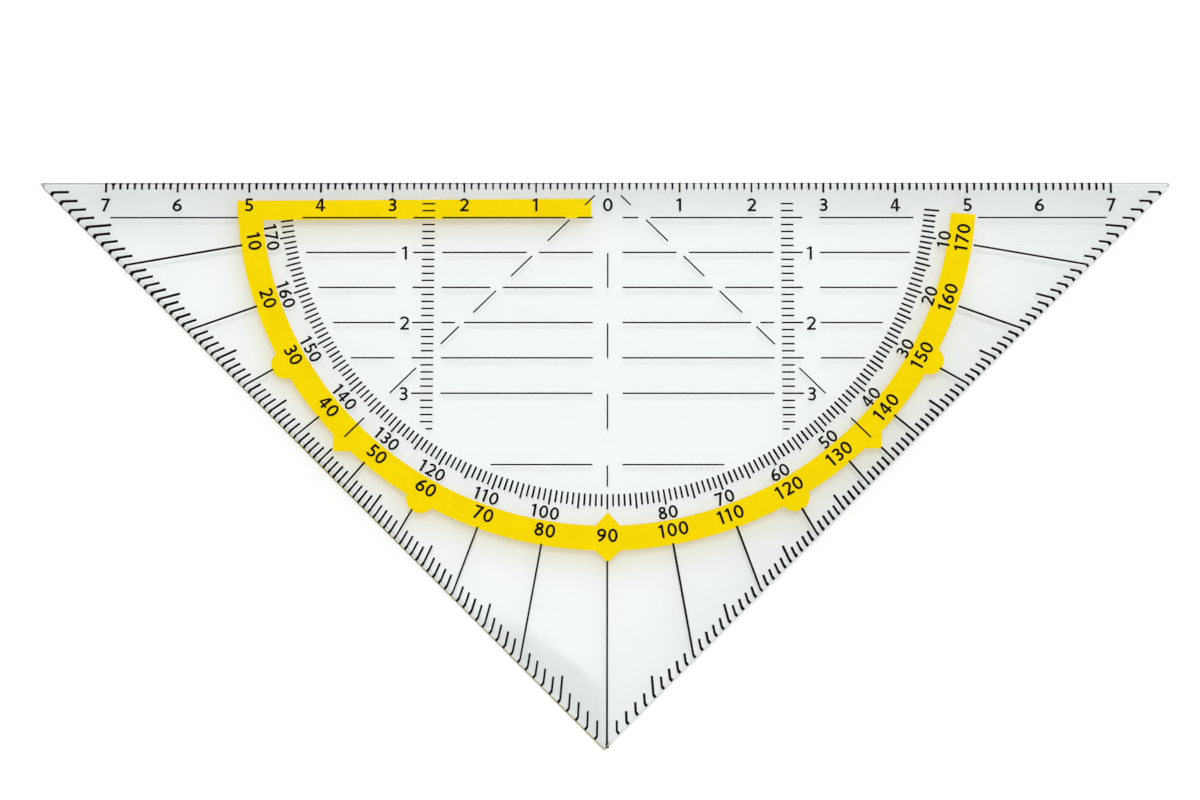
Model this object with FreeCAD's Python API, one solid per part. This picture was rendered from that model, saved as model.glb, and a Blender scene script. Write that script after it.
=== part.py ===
import FreeCAD, Part
import math
import os

# Geometry set square: a flat 45-45-90 triangle of clear plastic with a
# millimetre ruler, a half-round protractor, parallel lines and depth scales
# printed on its upper face.  Millimetres.
#
# Frame: the origin is the zero mark of the print, near the middle of the long
# (ruling) edge, on the underside.  +X runs along the ruling edge, +Y points out
# of it, so the right-angled corner lies towards -Y, and +Z is up.
# Angles of the protractor are counted in degrees from the left end of the
# ruling edge (0) through the right-angled corner (90) to the right end (180).

# ---- plate -------------------------------------------------------------
RULING_EDGE = 158.5        # long edge, between the two sharp corners
THICKNESS = 1.8            # plate thickness
EDGE_ROUND = 0.7           # rounding of the three upper edges
TIP_RADIUS = 0.35          # plan radius of the two 45 degree corners
APEX_RADIUS = 0.30         # plan radius of the right-angled corner

# ---- ink films ---------------------------------------------------------
YELLOW_FILM = 0.02         # height of the yellow ink over the plate
BLACK_FILM = 0.05          # height of the black ink over the plate
EDGE_MARGIN = 0.10         # bare strip between the print and the plate's outline
APEX_MARGIN = 0.55         # the same for the 90 degree ray, from the sharp corner
PRINT_OFFSET = 0.35        # the zero mark sits this far right of the plate's middle
PRINT_INSET = 0.15         # and this far inside the ruling edge
YELLOW_SHIFT = (-0.23, -0.47)  # register of the yellow pass to the black one
YELLOW_TURN = 0.35         # and its turn, degrees

LEG = RULING_EDGE / 2.0    # height of the triangle over the ruling edge
LEG_DISTANCE = (LEG - PRINT_INSET) * math.sqrt(0.5)   # zero mark to a leg, square to it

# ---- ruler (depths are counted from the zero line of the print) --------
RULER_END_MARGIN = 9.0     # the last centimetre mark stays this far from the corner
RULER_REACH = 10 * int((LEG - RULER_END_MARGIN) / 10)
RULER_TICK_WIDTH = 0.24
MM_TICK_LENGTH = 0.95
CM_TICK_LENGTH = 1.38
RULER_DIGIT_HEIGHT = 1.77
RULER_DIGIT_STROKE = 0.20
RULER_DIGIT_GAP = 0.95     # from the centimetre ticks to the digits' tops

# ---- yellow band (in the frame of the yellow pass) ---------------------
BAND_MARGIN = 4.462            # from the band's rim to the legs
BAND_WIDTH = 3.44
BAND_OUTER_RADIUS = LEG_DISTANCE - BAND_MARGIN
BAND_INNER_RADIUS = BAND_OUTER_RADIUS - BAND_WIDTH
BAND_END_ANGLE = 4.9           # the right end of the band, below the ruling edge
BAR_TOP = 1.78                 # straight bar: from the zero line to its upper side
BAR_WIDTH = 2.82
BAR_END_GAP = 2.10             # the bar stops this far left of the middle
LOBE_RADIUS = 2.03
LOBE_SEAT = 0.47               # the lobes' centres lie this far inside the rim
POINT_REACH = 1.65             # pointed lobes, out of the band's rim
POINT_HALF_WIDTH = 1.65
DIAMOND_REACH = 1.63           # diamond, out of the rim and into the ring
DIAMOND_DEPTH = 1.88
DIAMOND_HALF_WIDTH = 1.80
LOBE_ANGLES = {30: 29.6, 60: 59.9, 120: 120.1, 150: 150.5}   # ray: lobe
POINT_ANGLES = {45: 44.85, 135: 135.1}                       # ray: point
BAND_DIGIT_HEIGHT = 1.84
BAND_DIGIT_STROKE = 0.26
BAND_DIGIT_SEAT = 0.09         # the outer numbers lie this far outside the middle
BAND_DIGIT_RADIUS = BAND_INNER_RADIUS + BAND_WIDTH / 2 + BAND_DIGIT_SEAT
BAND_NUMBER_SHIFT = (          # where each number sits along the arc, 10 to 170
    -0.25, -0.55, -0.37, -0.20, 0.58, 0.13, 0.13, 0.15, 0.02,
    0.40, -0.22, -0.05, -0.38, 0.15, 0.35, 0.68, 0.80,
)

# ---- protractor ring inside the band -----------------------------------
BAND_GAP = 1.76                # from the long ticks to the band
DEGREE_TICK_WIDTH = 0.22
DEGREE_TICK_LENGTH = 1.70
LONG_DEGREE_TICK_LENGTH = 2.15
DEGREE_TICK_RADIUS = BAND_INNER_RADIUS - BAND_GAP - LONG_DEGREE_TICK_LENGTH
FIRST_DEGREE = 7               # the ring starts just below the yellow bar
LAST_DEGREE = 175
DEGREE_DIGIT_HEIGHT = 1.74
DEGREE_DIGIT_STROKE = 0.21
DEGREE_DIGIT_SEAT = 0.67       # from the middle of the inner numbers to the band
DEGREE_DIGIT_RADIUS = BAND_INNER_RADIUS - DEGREE_DIGIT_SEAT
DEGREE_NUMBER_SHIFT = (
    -0.40, -0.17, 0.12, 0.15, 0.23, -0.38, -0.38, -0.28, 0.00,
    0.07, -0.15, -0.10, -0.23, -0.10, 0.07, 0.02, 0.12,
)

# ---- strokes across the band, rays and leg ticks -----------------------
HALF_RIGHT_MARK_REACH = 0.73   # out of the band's inner side
HALF_RIGHT_MARK_SEAT = 0.37    # and this far from its rim
RAY_OVERLAP = 0.20             # the rays start this far inside the yellow band
RAY_WIDTH = 0.22
LEG_TICK_WIDTH = 0.24
LEG_TICK_DEPTH = 1.85          # square to the leg
LONG_LEG_TICK_DEPTH = 2.80

# ---- depth scales ------------------------------------------------------
DEPTH_MARKS = range(3, 36)     # millimetres from the zero line
DEPTH_TICK_NEAR = 24.05        # the inner ends of the ticks, from the middle
DEPTH_TICK_LENGTH = 1.75
LONG_DEPTH_TICK_LENGTH = 3.00
LAST_DEPTH_TICK_LENGTH = 0.95
DEPTH_TICK_WIDTH = 0.22
DEPTH_DIGIT_HEIGHT = 1.80
DEPTH_DIGIT_STROKE = 0.20
DEPTH_DIGIT_GAP = 1.05         # from the long ticks to the middle of the digits
DEPTH_DIGIT_DROP = 0.08        # the digits sit this far below their line

# ---- parallel lines, diagonals, centre line ----------------------------
LINE_WIDTH = 0.20
CENTRE_GAP = 2.05              # the parallel lines stop this far from the middle
DEPTH_LINE_GAP = 1.05          # from the lines to the depth scale's ticks
DEPTH_LINE_RESUME = 1.30       # and beyond the middle of its digits
SHORTEST_LINE = 1.85           # shorter pieces between two gaps are left out
PARALLEL_LINES = {             # depth: gaps before and after the diagonal, to the ring
    5.0: (0.75, 0.90, 1.34),
    10.0: (0.45, 1.25, 1.07),
    15.0: (0.45, 1.25, 1.39),
    20.0: (0.15, 1.10, 1.33),
    25.0: (0.75, 0.90, 0.90),
    30.0: (0.75, 0.90, 1.20),
    40.0: (0.75, 0.90, 2.60),
}
OUTER_LINE_GAP = 0.20          # the first line goes on outside the band
OUTER_LINE_MARGIN = 4.95       # and stops this far from the leg, along the line
DIAGONAL_DASHES = ((1.80, 3.18), (5.32, 8.36), (10.50, 13.40), (15.48, 18.60))
DIAGONAL_DEPTH_START = 3.50    # along X, before and after the depth scale's ticks
DIAGONAL_DEPTH_GAP = 0.97
DIAGONAL_DEPTH_RESUME = 0.60
DIAGONAL_RING_GAP = 1.20
CENTRE_DASH_PITCH = 10.0
CENTRE_DASH_START = 0.10       # after each full centimetre
CENTRE_DASH_LENGTH = 4.92
CENTRE_RING_GAP = 1.07

# ---- digits (all shares of the digit's height) -------------------------
DIGIT_WIDTH = 0.64             # a nought
DIGIT_GAP = 0.15               # between one digit and the next
DIGIT_SPAN = {                 # left and right limits that the spacing goes by
    "0": (0.00, 0.64), "1": (0.12, 0.56), "2": (0.03, 0.61), "3": (0.04, 0.58),
    "4": (0.02, 0.64), "5": (0.04, 0.60), "6": (0.02, 0.62), "7": (0.03, 0.60),
    "8": (0.02, 0.62), "9": (0.02, 0.62),
}

V = FreeCAD.Vector


# ---- shape helpers -----------------------------------------------------
def polygon(points):
    """Flat face through the plan points."""
    corners = [V(x, y, 0) for x, y in points]
    return Part.Face(Part.makePolygon(corners + corners[:1]))


def slab(face, low, high):
    """Solid of a plan face between two heights."""
    face = face.copy()
    face.translate(V(0, 0, low))
    return face.extrude(V(0, 0, high - low))


def bar(start, end, width):
    """Plan face of a straight stroke with square ends."""
    (x0, y0), (x1, y1) = start, end
    length = math.hypot(x1 - x0, y1 - y0)
    nx, ny = -(y1 - y0) / length * width / 2, (x1 - x0) / length * width / 2
    return polygon([(x0 + nx, y0 + ny), (x0 - nx, y0 - ny),
                    (x1 - nx, y1 - ny), (x1 + nx, y1 + ny)])


def polar(angle, radius):
    """Plan point at a protractor angle and a distance from the zero mark."""
    t = math.radians(angle)
    return -radius * math.cos(t), -radius * math.sin(t)


def leg_radius(angle, depth, offset=0.0):
    """Distance from the zero mark to a line `depth` inside the nearer leg.

    offset is how far the zero mark sits right of the triangle's middle.
    """
    t = math.radians(angle)
    reach = (LEG_DISTANCE - depth) * math.sqrt(2) + math.copysign(offset, 90.0 - angle)
    return reach / (abs(math.cos(t)) + math.sin(t))


def leg_end(angle):
    """Where the print of an angle stops at the plate's own leg."""
    if angle == 90:
        return polar(angle, LEG - PRINT_INSET - APEX_MARGIN)
    return polar(angle, leg_radius(angle, EDGE_MARGIN, PRINT_OFFSET))


def disc(x, y, radius):
    return Part.Face(Part.Wire(Part.makeCircle(radius, V(x, y, 0))))


# ---- plate -------------------------------------------------------------
def corner_arc(corner, before, after, radius):
    """Points (start, middle, end) of the arc that rounds a plan corner."""
    c, b, a = V(*corner, 0), V(*before, 0), V(*after, 0)
    u, v = (b - c).normalize(), (a - c).normalize()
    half = u.getAngle(v) / 2
    reach = radius / math.tan(half)
    centre = c + (u + v).normalize() * (radius / math.sin(half))
    return c + u * reach, centre + (c - centre).normalize() * radius, c + v * reach


def outline(grow=0.0):
    """Plan outline of the plate, moved outwards by `grow`."""
    drop, mid, top = LEG + grow * math.sqrt(2), -PRINT_OFFSET, PRINT_INSET
    corners = [(mid - drop - grow, top + grow), (mid, top - drop),
               (mid + drop + grow, top + grow)]
    radii = [TIP_RADIUS + grow, APEX_RADIUS + grow, TIP_RADIUS + grow]
    arcs = [corner_arc(corners[i], corners[i - 1], corners[(i + 1) % 3], radii[i])
            for i in range(3)]
    edges = []
    for i, (start, middle, end) in enumerate(arcs):
        edges.append(Part.Arc(start, middle, end).toShape())
        edges.append(Part.LineSegment(end, arcs[(i + 1) % 3][0]).toShape())
    return Part.Face(Part.Wire(edges))


def edge_cutter(direction, distance, radius, top):
    """Straight bar that takes the upper edge of one side off to a quarter round.

    direction is the side's outward normal in plan (degrees) and distance how far
    the side lies from the middle of the ruling edge.
    """
    over = 2 * THICKNESS
    low = top - radius
    mid = radius * math.sqrt(0.5)
    rim, crown = V(distance, 0, low), V(distance - radius, 0, top)
    wire = Part.Wire([
        Part.Arc(rim, V(distance - radius + mid, 0, low + mid), crown).toShape(),
        Part.makePolygon([crown, V(distance - radius, 0, top + over),
                          V(distance + over, 0, top + over),
                          V(distance + over, 0, low), rim]),
    ])
    reach = 1.5 * RULING_EDGE
    cutter = Part.Face(wire).extrude(V(0, 2 * reach, 0))
    cutter.translate(V(0, -reach, 0))
    cutter.rotate(V(0, 0, 0), V(0, 0, 1), direction)
    cutter.translate(V(-PRINT_OFFSET, PRINT_INSET, 0))
    return cutter


def plate(grow=0.0):
    """The plate, or the same shape with its sides and top moved out by grow."""
    body = slab(outline(grow), 0, THICKNESS + grow)
    sides = ((90, 0.0), (-45, LEG * math.sqrt(0.5)), (-135, LEG * math.sqrt(0.5)))
    return body.cut([edge_cutter(direction, distance + grow, EDGE_ROUND + grow,
                                 THICKNESS + grow)
                     for direction, distance in sides])


# ---- yellow film -------------------------------------------------------
def yellow_outline():
    """Plan faces of the yellow band, in the frame of the yellow pass."""
    outer, inner = disc(0, 0, BAND_OUTER_RADIUS), disc(0, 0, BAND_INNER_RADIUS)
    ring = outer.cut(inner)
    end_x, end_y = polar(180 - BAND_END_ANGLE, 2 * BAND_OUTER_RADIUS)
    far = 2 * BAND_OUTER_RADIUS
    window = polygon([(-far, -BAR_TOP), (-far, -far), (far, -far), (end_x, end_y),
                      (0, 0), (0, -BAR_TOP)])
    arc = ring.common(window)
    foot = BAR_TOP + BAR_WIDTH
    straight = polygon([(-far, -BAR_TOP), (-far, -foot),
                        (-BAR_END_GAP, -foot), (-BAR_END_GAP, -BAR_TOP)])
    faces = [arc, straight.common(outer)]
    for angle in LOBE_ANGLES.values():
        faces.append(disc(*polar(angle, BAND_OUTER_RADIUS - LOBE_SEAT), LOBE_RADIUS))
    root = (BAND_INNER_RADIUS + BAND_OUTER_RADIUS) / 2
    for angle in POINT_ANGLES.values():
        side = math.degrees(POINT_HALF_WIDTH / BAND_OUTER_RADIUS)
        faces.append(polygon([polar(angle - side, root),
                              polar(angle - side, BAND_OUTER_RADIUS),
                              polar(angle, BAND_OUTER_RADIUS + POINT_REACH),
                              polar(angle + side, BAND_OUTER_RADIUS),
                              polar(angle + side, root)]))
    side = math.degrees(DIAMOND_HALF_WIDTH / BAND_OUTER_RADIUS)
    faces.append(polygon([polar(90, BAND_INNER_RADIUS - DIAMOND_DEPTH),
                          polar(90 - side, BAND_INNER_RADIUS),
                          polar(90 - side, BAND_OUTER_RADIUS),
                          polar(90, BAND_OUTER_RADIUS + DIAMOND_REACH),
                          polar(90 + side, BAND_OUTER_RADIUS),
                          polar(90 + side, BAND_INNER_RADIUS)]))
    return faces


def yellow_film():
    slabs = [slab(face, THICKNESS, THICKNESS + YELLOW_FILM)
             for shape in yellow_outline() for face in shape.Faces]
    film = slabs[0].fuse(slabs[1:]).removeSplitter()
    film.rotate(V(0, 0, 0), V(0, 0, 1), YELLOW_TURN)
    film.translate(V(*YELLOW_SHIFT, 0))
    return film


# ---- black film --------------------------------------------------------
def draped(face):
    """Black ink of one plan face, lying on the plate and over the yellow film."""
    return SKIN.common(slab(face, 0, THICKNESS + 2 * BLACK_FILM)).Solids


def draped_all(faces):
    return [solid for face in faces for solid in draped(face)]


# ---- digits ------------------------------------------------------------
def ring_stroke(x, y, radius, start, end, width):
    """Arc-shaped stroke, counted anticlockwise from start to end in degrees."""
    def at(r, degrees):
        t = math.radians(degrees)
        return V(x + r * math.cos(t), y + r * math.sin(t), 0)
    out, inn = radius + width / 2, radius - width / 2
    if end - start >= 360:
        return disc(x, y, out).cut(disc(x, y, inn))
    middle = (start + end) / 2
    return Part.Face(Part.Wire([
        Part.Arc(at(out, start), at(out, middle), at(out, end)).toShape(),
        Part.makeLine(at(out, end), at(inn, end)),
        Part.Arc(at(inn, end), at(inn, middle), at(inn, start)).toShape(),
        Part.makeLine(at(inn, start), at(out, start)),
    ]))


def oval(x, y, half_width, half_height):
    curve = Part.Ellipse(V(x, y + half_height, 0), V(x + half_width, y, 0), V(x, y, 0))
    return Part.Face(Part.Wire(curve.toShape()))


def six_strokes(h, s):
    """Bowl and tail of a six, h high with stroke s."""
    radius = 0.305 * h - s / 2
    left, bowl_y = 0.32 * h - radius, 0.305 * h
    end_x, end_y = 0.53 * h, h - s / 2 - 0.005 * h
    dx, dy = end_x - left, end_y - bowl_y
    tail = (dx * dx + dy * dy) / (2 * dx)
    end = math.degrees(math.atan2(dy, dx - tail))
    return [ring_stroke(0.32 * h, bowl_y, radius, 0, 360, s),
            ring_stroke(left + tail, bowl_y, tail, end, 180, s)]


def digit_strokes(digit, h, s):
    """Plan faces whose union is one digit, h high, with its cell's corner at 0."""
    w, e = DIGIT_WIDTH * h, s / 2
    if digit == "0":
        return [oval(w / 2, h / 2, w / 2, h / 2).cut(
            oval(w / 2, h / 2, w / 2 - s, h / 2 - s))]
    if digit == "1":
        right, left = 0.44 * h, 0.44 * h - s
        return [polygon([(left, 0), (right, 0), (right, h), (left, h)]),
                bar((0.13 * h, 0.81 * h), (right - e, h - e), 0.9 * s)]
    if digit == "2":
        radius = w / 2 - e - 0.015 * h
        cx, cy = w / 2 - 0.01 * h, h - e - radius
        t = math.radians(-35)
        x, y = cx + radius * math.cos(t), cy + radius * math.sin(t)
        run = (y - e) / math.cos(t)
        return [ring_stroke(cx, cy, radius, -35, 158, s),
                bar((x, y), (x + run * math.sin(t), e), s),
                polygon([(0.05 * h, 0), (0.61 * h, 0), (0.61 * h, s), (0.05 * h, s)])]
    if digit == "3":
        top, bottom = 0.27 * h - e, 0.30 * h - e
        top_y, bottom_y = h - e - top, e + bottom
        return [ring_stroke(0.29 * h, top_y, top, -90, 148, s),
                ring_stroke(0.28 * h, bottom_y, bottom, -145, 90, s),
                bar((0.17 * h, 0.53 * h), (0.29 * h, 0.53 * h), s)]
    if digit == "4":
        right, left, bar_y = 0.50 * h, 0.50 * h - s, 0.28 * h
        return [polygon([(left, 0), (right, 0), (right, h), (left, h)]),
                bar((0.02 * h, bar_y), (w, bar_y), s),
                bar((0.07 * h, bar_y), (right - e, h - e), s)]
    if digit == "5":
        radius = 0.315 * h - e
        cy = e + radius
        return [polygon([(0.12 * h, h - s), (0.56 * h, h - s), (0.56 * h, h),
                         (0.12 * h, h)]),
                polygon([(0.12 * h, h), (0.095 * h, 0.49 * h),
                         (0.095 * h + 0.95 * s, 0.49 * h), (0.12 * h + 0.95 * s, h)]),
                ring_stroke(0.29 * h, cy, radius, -142, 128, s)]
    if digit == "6":
        return six_strokes(h, s)
    if digit == "7":
        return [polygon([(0.03 * h, h - s), (0.60 * h, h - s), (0.60 * h, h),
                         (0.03 * h, h)]),
                polygon([(0.60 * h, h), (0.60 * h, h - s), (0.27 * h, 0),
                         (0.27 * h - 1.08 * s, 0), (0.60 * h - 1.2 * s, h - s / 2)])]
    if digit == "8":
        top, bottom = 0.255 * h - e, 0.30 * h - e
        return [ring_stroke(w / 2, h - e - top, top, 0, 360, s),
                ring_stroke(w / 2, e + bottom, bottom, 0, 360, s)]
    strokes = six_strokes(h, s)
    for face in strokes:
        face.rotate(V(w / 2, h / 2, 0), V(0, 0, 1), 180)
    return strokes


def digit_solid(digit, h, s, low, high):
    solids = [slab(face, low, high)
              for shape in digit_strokes(digit, h, s) for face in shape.Faces]
    if len(solids) > 1:
        return solids[0].fuse(solids[1:]).removeSplitter()
    return solids[0]


def digit_set(h, s, low, high):
    return {d: digit_solid(d, h, s, low, high) for d in "0123456789"}


def number(digits, text, h, x, y, turn, along=0.0):
    """Solids of a number centred on a plan point, its baseline turned by turn.

    along moves it by that much in the direction in which it reads.
    """
    places, pen = [], 0.0
    for character in text:
        left, right = DIGIT_SPAN[character]
        places.append(pen - left * h)
        pen += (right - left + DIGIT_GAP) * h
    half = (pen - DIGIT_GAP * h) / 2
    rotation = FreeCAD.Rotation(V(0, 0, 1), turn)
    solids = []
    for character, place in zip(text, places):
        offset = rotation.multVec(V(place - half + along, -h / 2, 0))
        copy = digits[character].copy()
        copy.Placement = FreeCAD.Placement(V(x, y, 0) + offset, rotation)
        solids.append(copy)
    return solids


# ---- printed groups ----------------------------------------------------
def ruler_ticks(length, wanted):
    return draped_all(
        bar((x, PRINT_INSET - EDGE_MARGIN), (x, -length), RULER_TICK_WIDTH)
        for x in range(-RULER_REACH, RULER_REACH + 1) if wanted(x))


def ruler_numerals():
    digits = digit_set(RULER_DIGIT_HEIGHT, RULER_DIGIT_STROKE, 0,
                       THICKNESS + BLACK_FILM)
    y = -CM_TICK_LENGTH - RULER_DIGIT_GAP - RULER_DIGIT_HEIGHT / 2
    solids = []
    for cm in range(-(RULER_REACH // 10), RULER_REACH // 10 + 1):
        for tall in number(digits, str(abs(cm)), RULER_DIGIT_HEIGHT, 10 * cm, y, 0):
            solids += SKIN.common(tall).Solids
    return solids


def degree_ticks(long_ones):
    length = LONG_DEGREE_TICK_LENGTH if long_ones else DEGREE_TICK_LENGTH
    return [slab(bar(polar(k, DEGREE_TICK_RADIUS),
                     polar(k, DEGREE_TICK_RADIUS + length), DEGREE_TICK_WIDTH),
                 THICKNESS, THICKNESS + BLACK_FILM)
            for k in range(FIRST_DEGREE, LAST_DEGREE + 1)
            if (k % 5 == 0) == long_ones]


def degree_numerals():
    digits = digit_set(DEGREE_DIGIT_HEIGHT, DEGREE_DIGIT_STROKE, 0,
                       THICKNESS + BLACK_FILM)
    solids = []
    for k, along in zip(range(10, 171, 10), DEGREE_NUMBER_SHIFT):
        if k == 90:
            continue
        for tall in number(digits, str(180 - k), DEGREE_DIGIT_HEIGHT,
                           *polar(k, DEGREE_DIGIT_RADIUS), k - 90, along):
            solids += SKIN.common(tall).Solids
    return solids


def band_numerals():
    digits = digit_set(BAND_DIGIT_HEIGHT, BAND_DIGIT_STROKE,
                       THICKNESS + YELLOW_FILM, THICKNESS + BLACK_FILM)
    return [solid for k, along in zip(range(10, 171, 10), BAND_NUMBER_SHIFT)
            for solid in number(digits, str(k), BAND_DIGIT_HEIGHT,
                                *polar(k, BAND_DIGIT_RADIUS), k - 90, along)]


def yellow_register(k):
    """How far the yellow pass is moved outwards at an angle."""
    out_x, out_y = polar(k, 1.0)
    return YELLOW_SHIFT[0] * out_x + YELLOW_SHIFT[1] * out_y


def ray_start(k):
    """Distance from the zero mark at which the ray of an angle starts."""
    reach = BAND_OUTER_RADIUS
    if k in LOBE_ANGLES:
        reach += LOBE_RADIUS - LOBE_SEAT
    elif k in POINT_ANGLES:
        reach += POINT_REACH
    elif k == 90:
        reach += DIAMOND_REACH
    return reach + yellow_register(k) - RAY_OVERLAP


def angle_rays():
    angles = sorted(set(range(10, 171, 10)) | set(POINT_ANGLES))
    return draped_all(bar(polar(k, ray_start(k)), leg_end(k), RAY_WIDTH)
                      for k in angles)


def leg_ticks(long_ones):
    depth = LONG_LEG_TICK_DEPTH if long_ones else LEG_TICK_DEPTH
    return draped_all(bar(polar(k, leg_radius(k, depth)), leg_end(k), LEG_TICK_WIDTH)
                      for k in range(1, 180)
                      if k % 10 and k not in POINT_ANGLES
                      and (k % 5 == 0) == long_ones)


def half_right_marks():
    return draped_all(bar(polar(k, BAND_INNER_RADIUS - HALF_RIGHT_MARK_REACH),
                          polar(k, BAND_OUTER_RADIUS - HALF_RIGHT_MARK_SEAT), RAY_WIDTH)
                      for k in POINT_ANGLES)


def open_spans(start, end, gaps):
    """What is left of start-end outside the gaps, without its shortest pieces."""
    spans = []
    for low, high in sorted(gaps):
        spans.append((start, min(low, end)))
        start = max(start, high)
    spans.append((start, end))
    return [(near, far) for near, far in spans if far - near > SHORTEST_LINE]


def depth_digit_x():
    return DEPTH_TICK_NEAR + LONG_DEPTH_TICK_LENGTH + DEPTH_DIGIT_GAP


def parallel_spans(y):
    """Spans in |x| of the line at depth y, as far as it lies inside the ring."""
    before, after, ring_gap = PARALLEL_LINES[y]
    if y > DEGREE_TICK_RADIUS:
        return []
    ring = math.sqrt(DEGREE_TICK_RADIUS ** 2 - y ** 2)
    spans = open_spans(CENTRE_GAP, ring - ring_gap, [
        (y - before, y + after),
        (DEPTH_TICK_NEAR - DEPTH_LINE_GAP, depth_digit_x() + DEPTH_LINE_RESUME)])
    if y == min(PARALLEL_LINES):
        rim = math.sqrt(BAND_OUTER_RADIUS ** 2 - y ** 2)
        spans.append((rim + OUTER_LINE_GAP, LEG - y - OUTER_LINE_MARGIN))
    return spans


def parallel_lines():
    return draped_all(bar((side * near, -y), (side * far, -y), LINE_WIDTH)
                      for y in PARALLEL_LINES
                      for near, far in parallel_spans(y) for side in (-1, 1))


def diagonal_lines():
    inner = DEPTH_TICK_NEAR - DIAGONAL_DEPTH_START
    outer = DEPTH_TICK_NEAR + DEPTH_TICK_LENGTH + DIAGONAL_DEPTH_RESUME
    dashes = DIAGONAL_DASHES + (
        (inner, DEPTH_TICK_NEAR - DIAGONAL_DEPTH_GAP),
        (outer, DEGREE_TICK_RADIUS * math.sqrt(0.5) - DIAGONAL_RING_GAP))
    return draped_all(bar((side * near, -near), (side * far, -far), LINE_WIDTH)
                      for near, far in dashes for side in (-1, 1))


def centre_line():
    faces, start = [], CENTRE_DASH_PITCH + CENTRE_DASH_START
    last = DEGREE_TICK_RADIUS - CENTRE_RING_GAP
    while start < last:
        end = min(start + CENTRE_DASH_LENGTH, last)
        faces.append(bar((0, -start), (0, -end), LINE_WIDTH))
        start += CENTRE_DASH_PITCH
    return draped_all(faces)


def depth_scale(side):
    faces = []
    for y in DEPTH_MARKS:
        length = LONG_DEPTH_TICK_LENGTH if y % 5 == 0 else DEPTH_TICK_LENGTH
        if y == DEPTH_MARKS[-1]:
            length = LAST_DEPTH_TICK_LENGTH
        faces.append(bar((side * DEPTH_TICK_NEAR, -y),
                         (side * (DEPTH_TICK_NEAR + length), -y), DEPTH_TICK_WIDTH))
    return draped_all(faces)


def depth_numerals():
    digits = digit_set(DEPTH_DIGIT_HEIGHT, DEPTH_DIGIT_STROKE,
                       THICKNESS, THICKNESS + BLACK_FILM)
    return [solid for cm in (1, 2, 3) for side in (-1, 1)
            for solid in number(digits, str(cm), DEPTH_DIGIT_HEIGHT,
                                side * depth_digit_x(), -10 * cm - DEPTH_DIGIT_DROP, 0)]


# ---- build and write ---------------------------------------------------
PLATE = plate()
YELLOW = yellow_film()
SKIN = plate(BLACK_FILM).cut([PLATE, YELLOW])

NODES = {
    "clear_plate": [PLATE],
    "yellow_scale_band": YELLOW.Solids,
    "ruler_millimetre_ticks": ruler_ticks(MM_TICK_LENGTH, lambda x: x % 10),
    "ruler_centimetre_ticks": ruler_ticks(CM_TICK_LENGTH, lambda x: not x % 10),
    "ruler_numerals": ruler_numerals(),
    "degree_ring_short_ticks": degree_ticks(False),
    "degree_ring_long_ticks": degree_ticks(True),
    "degree_ring_numerals": degree_numerals(),
    "band_numerals": band_numerals(),
    "half_right_angle_marks": half_right_marks(),
    "angle_rays": angle_rays(),
    "leg_short_ticks": leg_ticks(False),
    "leg_long_ticks": leg_ticks(True),
    "parallel_lines": parallel_lines(),
    "diagonal_lines": diagonal_lines(),
    "centre_line": centre_line(),
    "depth_scale_left": depth_scale(-1),
    "depth_scale_right": depth_scale(1),
    "depth_numerals": depth_numerals(),
}

os.makedirs("parts", exist_ok=True)
for name, solids in NODES.items():
    shape = solids[0] if len(solids) == 1 else Part.makeCompound(solids)
    if not shape.isValid():
        raise RuntimeError(name + " is not a valid shape")
    shape.exportStep(os.path.join("parts", name + ".step"))
    print("%-26s %4d solids %10.4f mm3" % (name, len(shape.Solids), shape.Volume))
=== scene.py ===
import math
import random

import bmesh
import bpy
from bpy.props import FloatProperty, FloatVectorProperty, IntProperty, PointerProperty
from mathutils import Euler, Matrix, Vector


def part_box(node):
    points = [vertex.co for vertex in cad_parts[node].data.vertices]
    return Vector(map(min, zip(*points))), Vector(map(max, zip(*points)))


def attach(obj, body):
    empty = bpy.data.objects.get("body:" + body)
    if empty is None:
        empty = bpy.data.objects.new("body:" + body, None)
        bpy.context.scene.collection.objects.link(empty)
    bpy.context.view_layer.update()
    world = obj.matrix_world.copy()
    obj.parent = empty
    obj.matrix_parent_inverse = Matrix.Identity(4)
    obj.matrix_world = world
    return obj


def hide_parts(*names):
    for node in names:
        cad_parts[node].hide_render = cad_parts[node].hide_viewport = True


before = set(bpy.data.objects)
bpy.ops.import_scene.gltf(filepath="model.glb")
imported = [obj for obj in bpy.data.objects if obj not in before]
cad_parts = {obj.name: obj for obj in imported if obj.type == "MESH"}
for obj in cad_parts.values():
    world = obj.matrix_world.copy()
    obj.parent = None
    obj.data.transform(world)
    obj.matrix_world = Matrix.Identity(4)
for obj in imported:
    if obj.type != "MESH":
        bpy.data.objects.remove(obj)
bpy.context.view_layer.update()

bl_info = {
    "name": "Geometry set square",
    "version": (1, 0, 0),
    "blender": (4, 5, 0),
    "location": "View3D > Sidebar > Set square",
    "description": "Clear plastic 45-45-90 set square with protractor and ruler",
    "category": "Add Mesh",
}

MM = 0.001
BODY = "root"
SEED = 52
PLATE_LOW, PLATE_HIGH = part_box("clear_plate")

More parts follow.
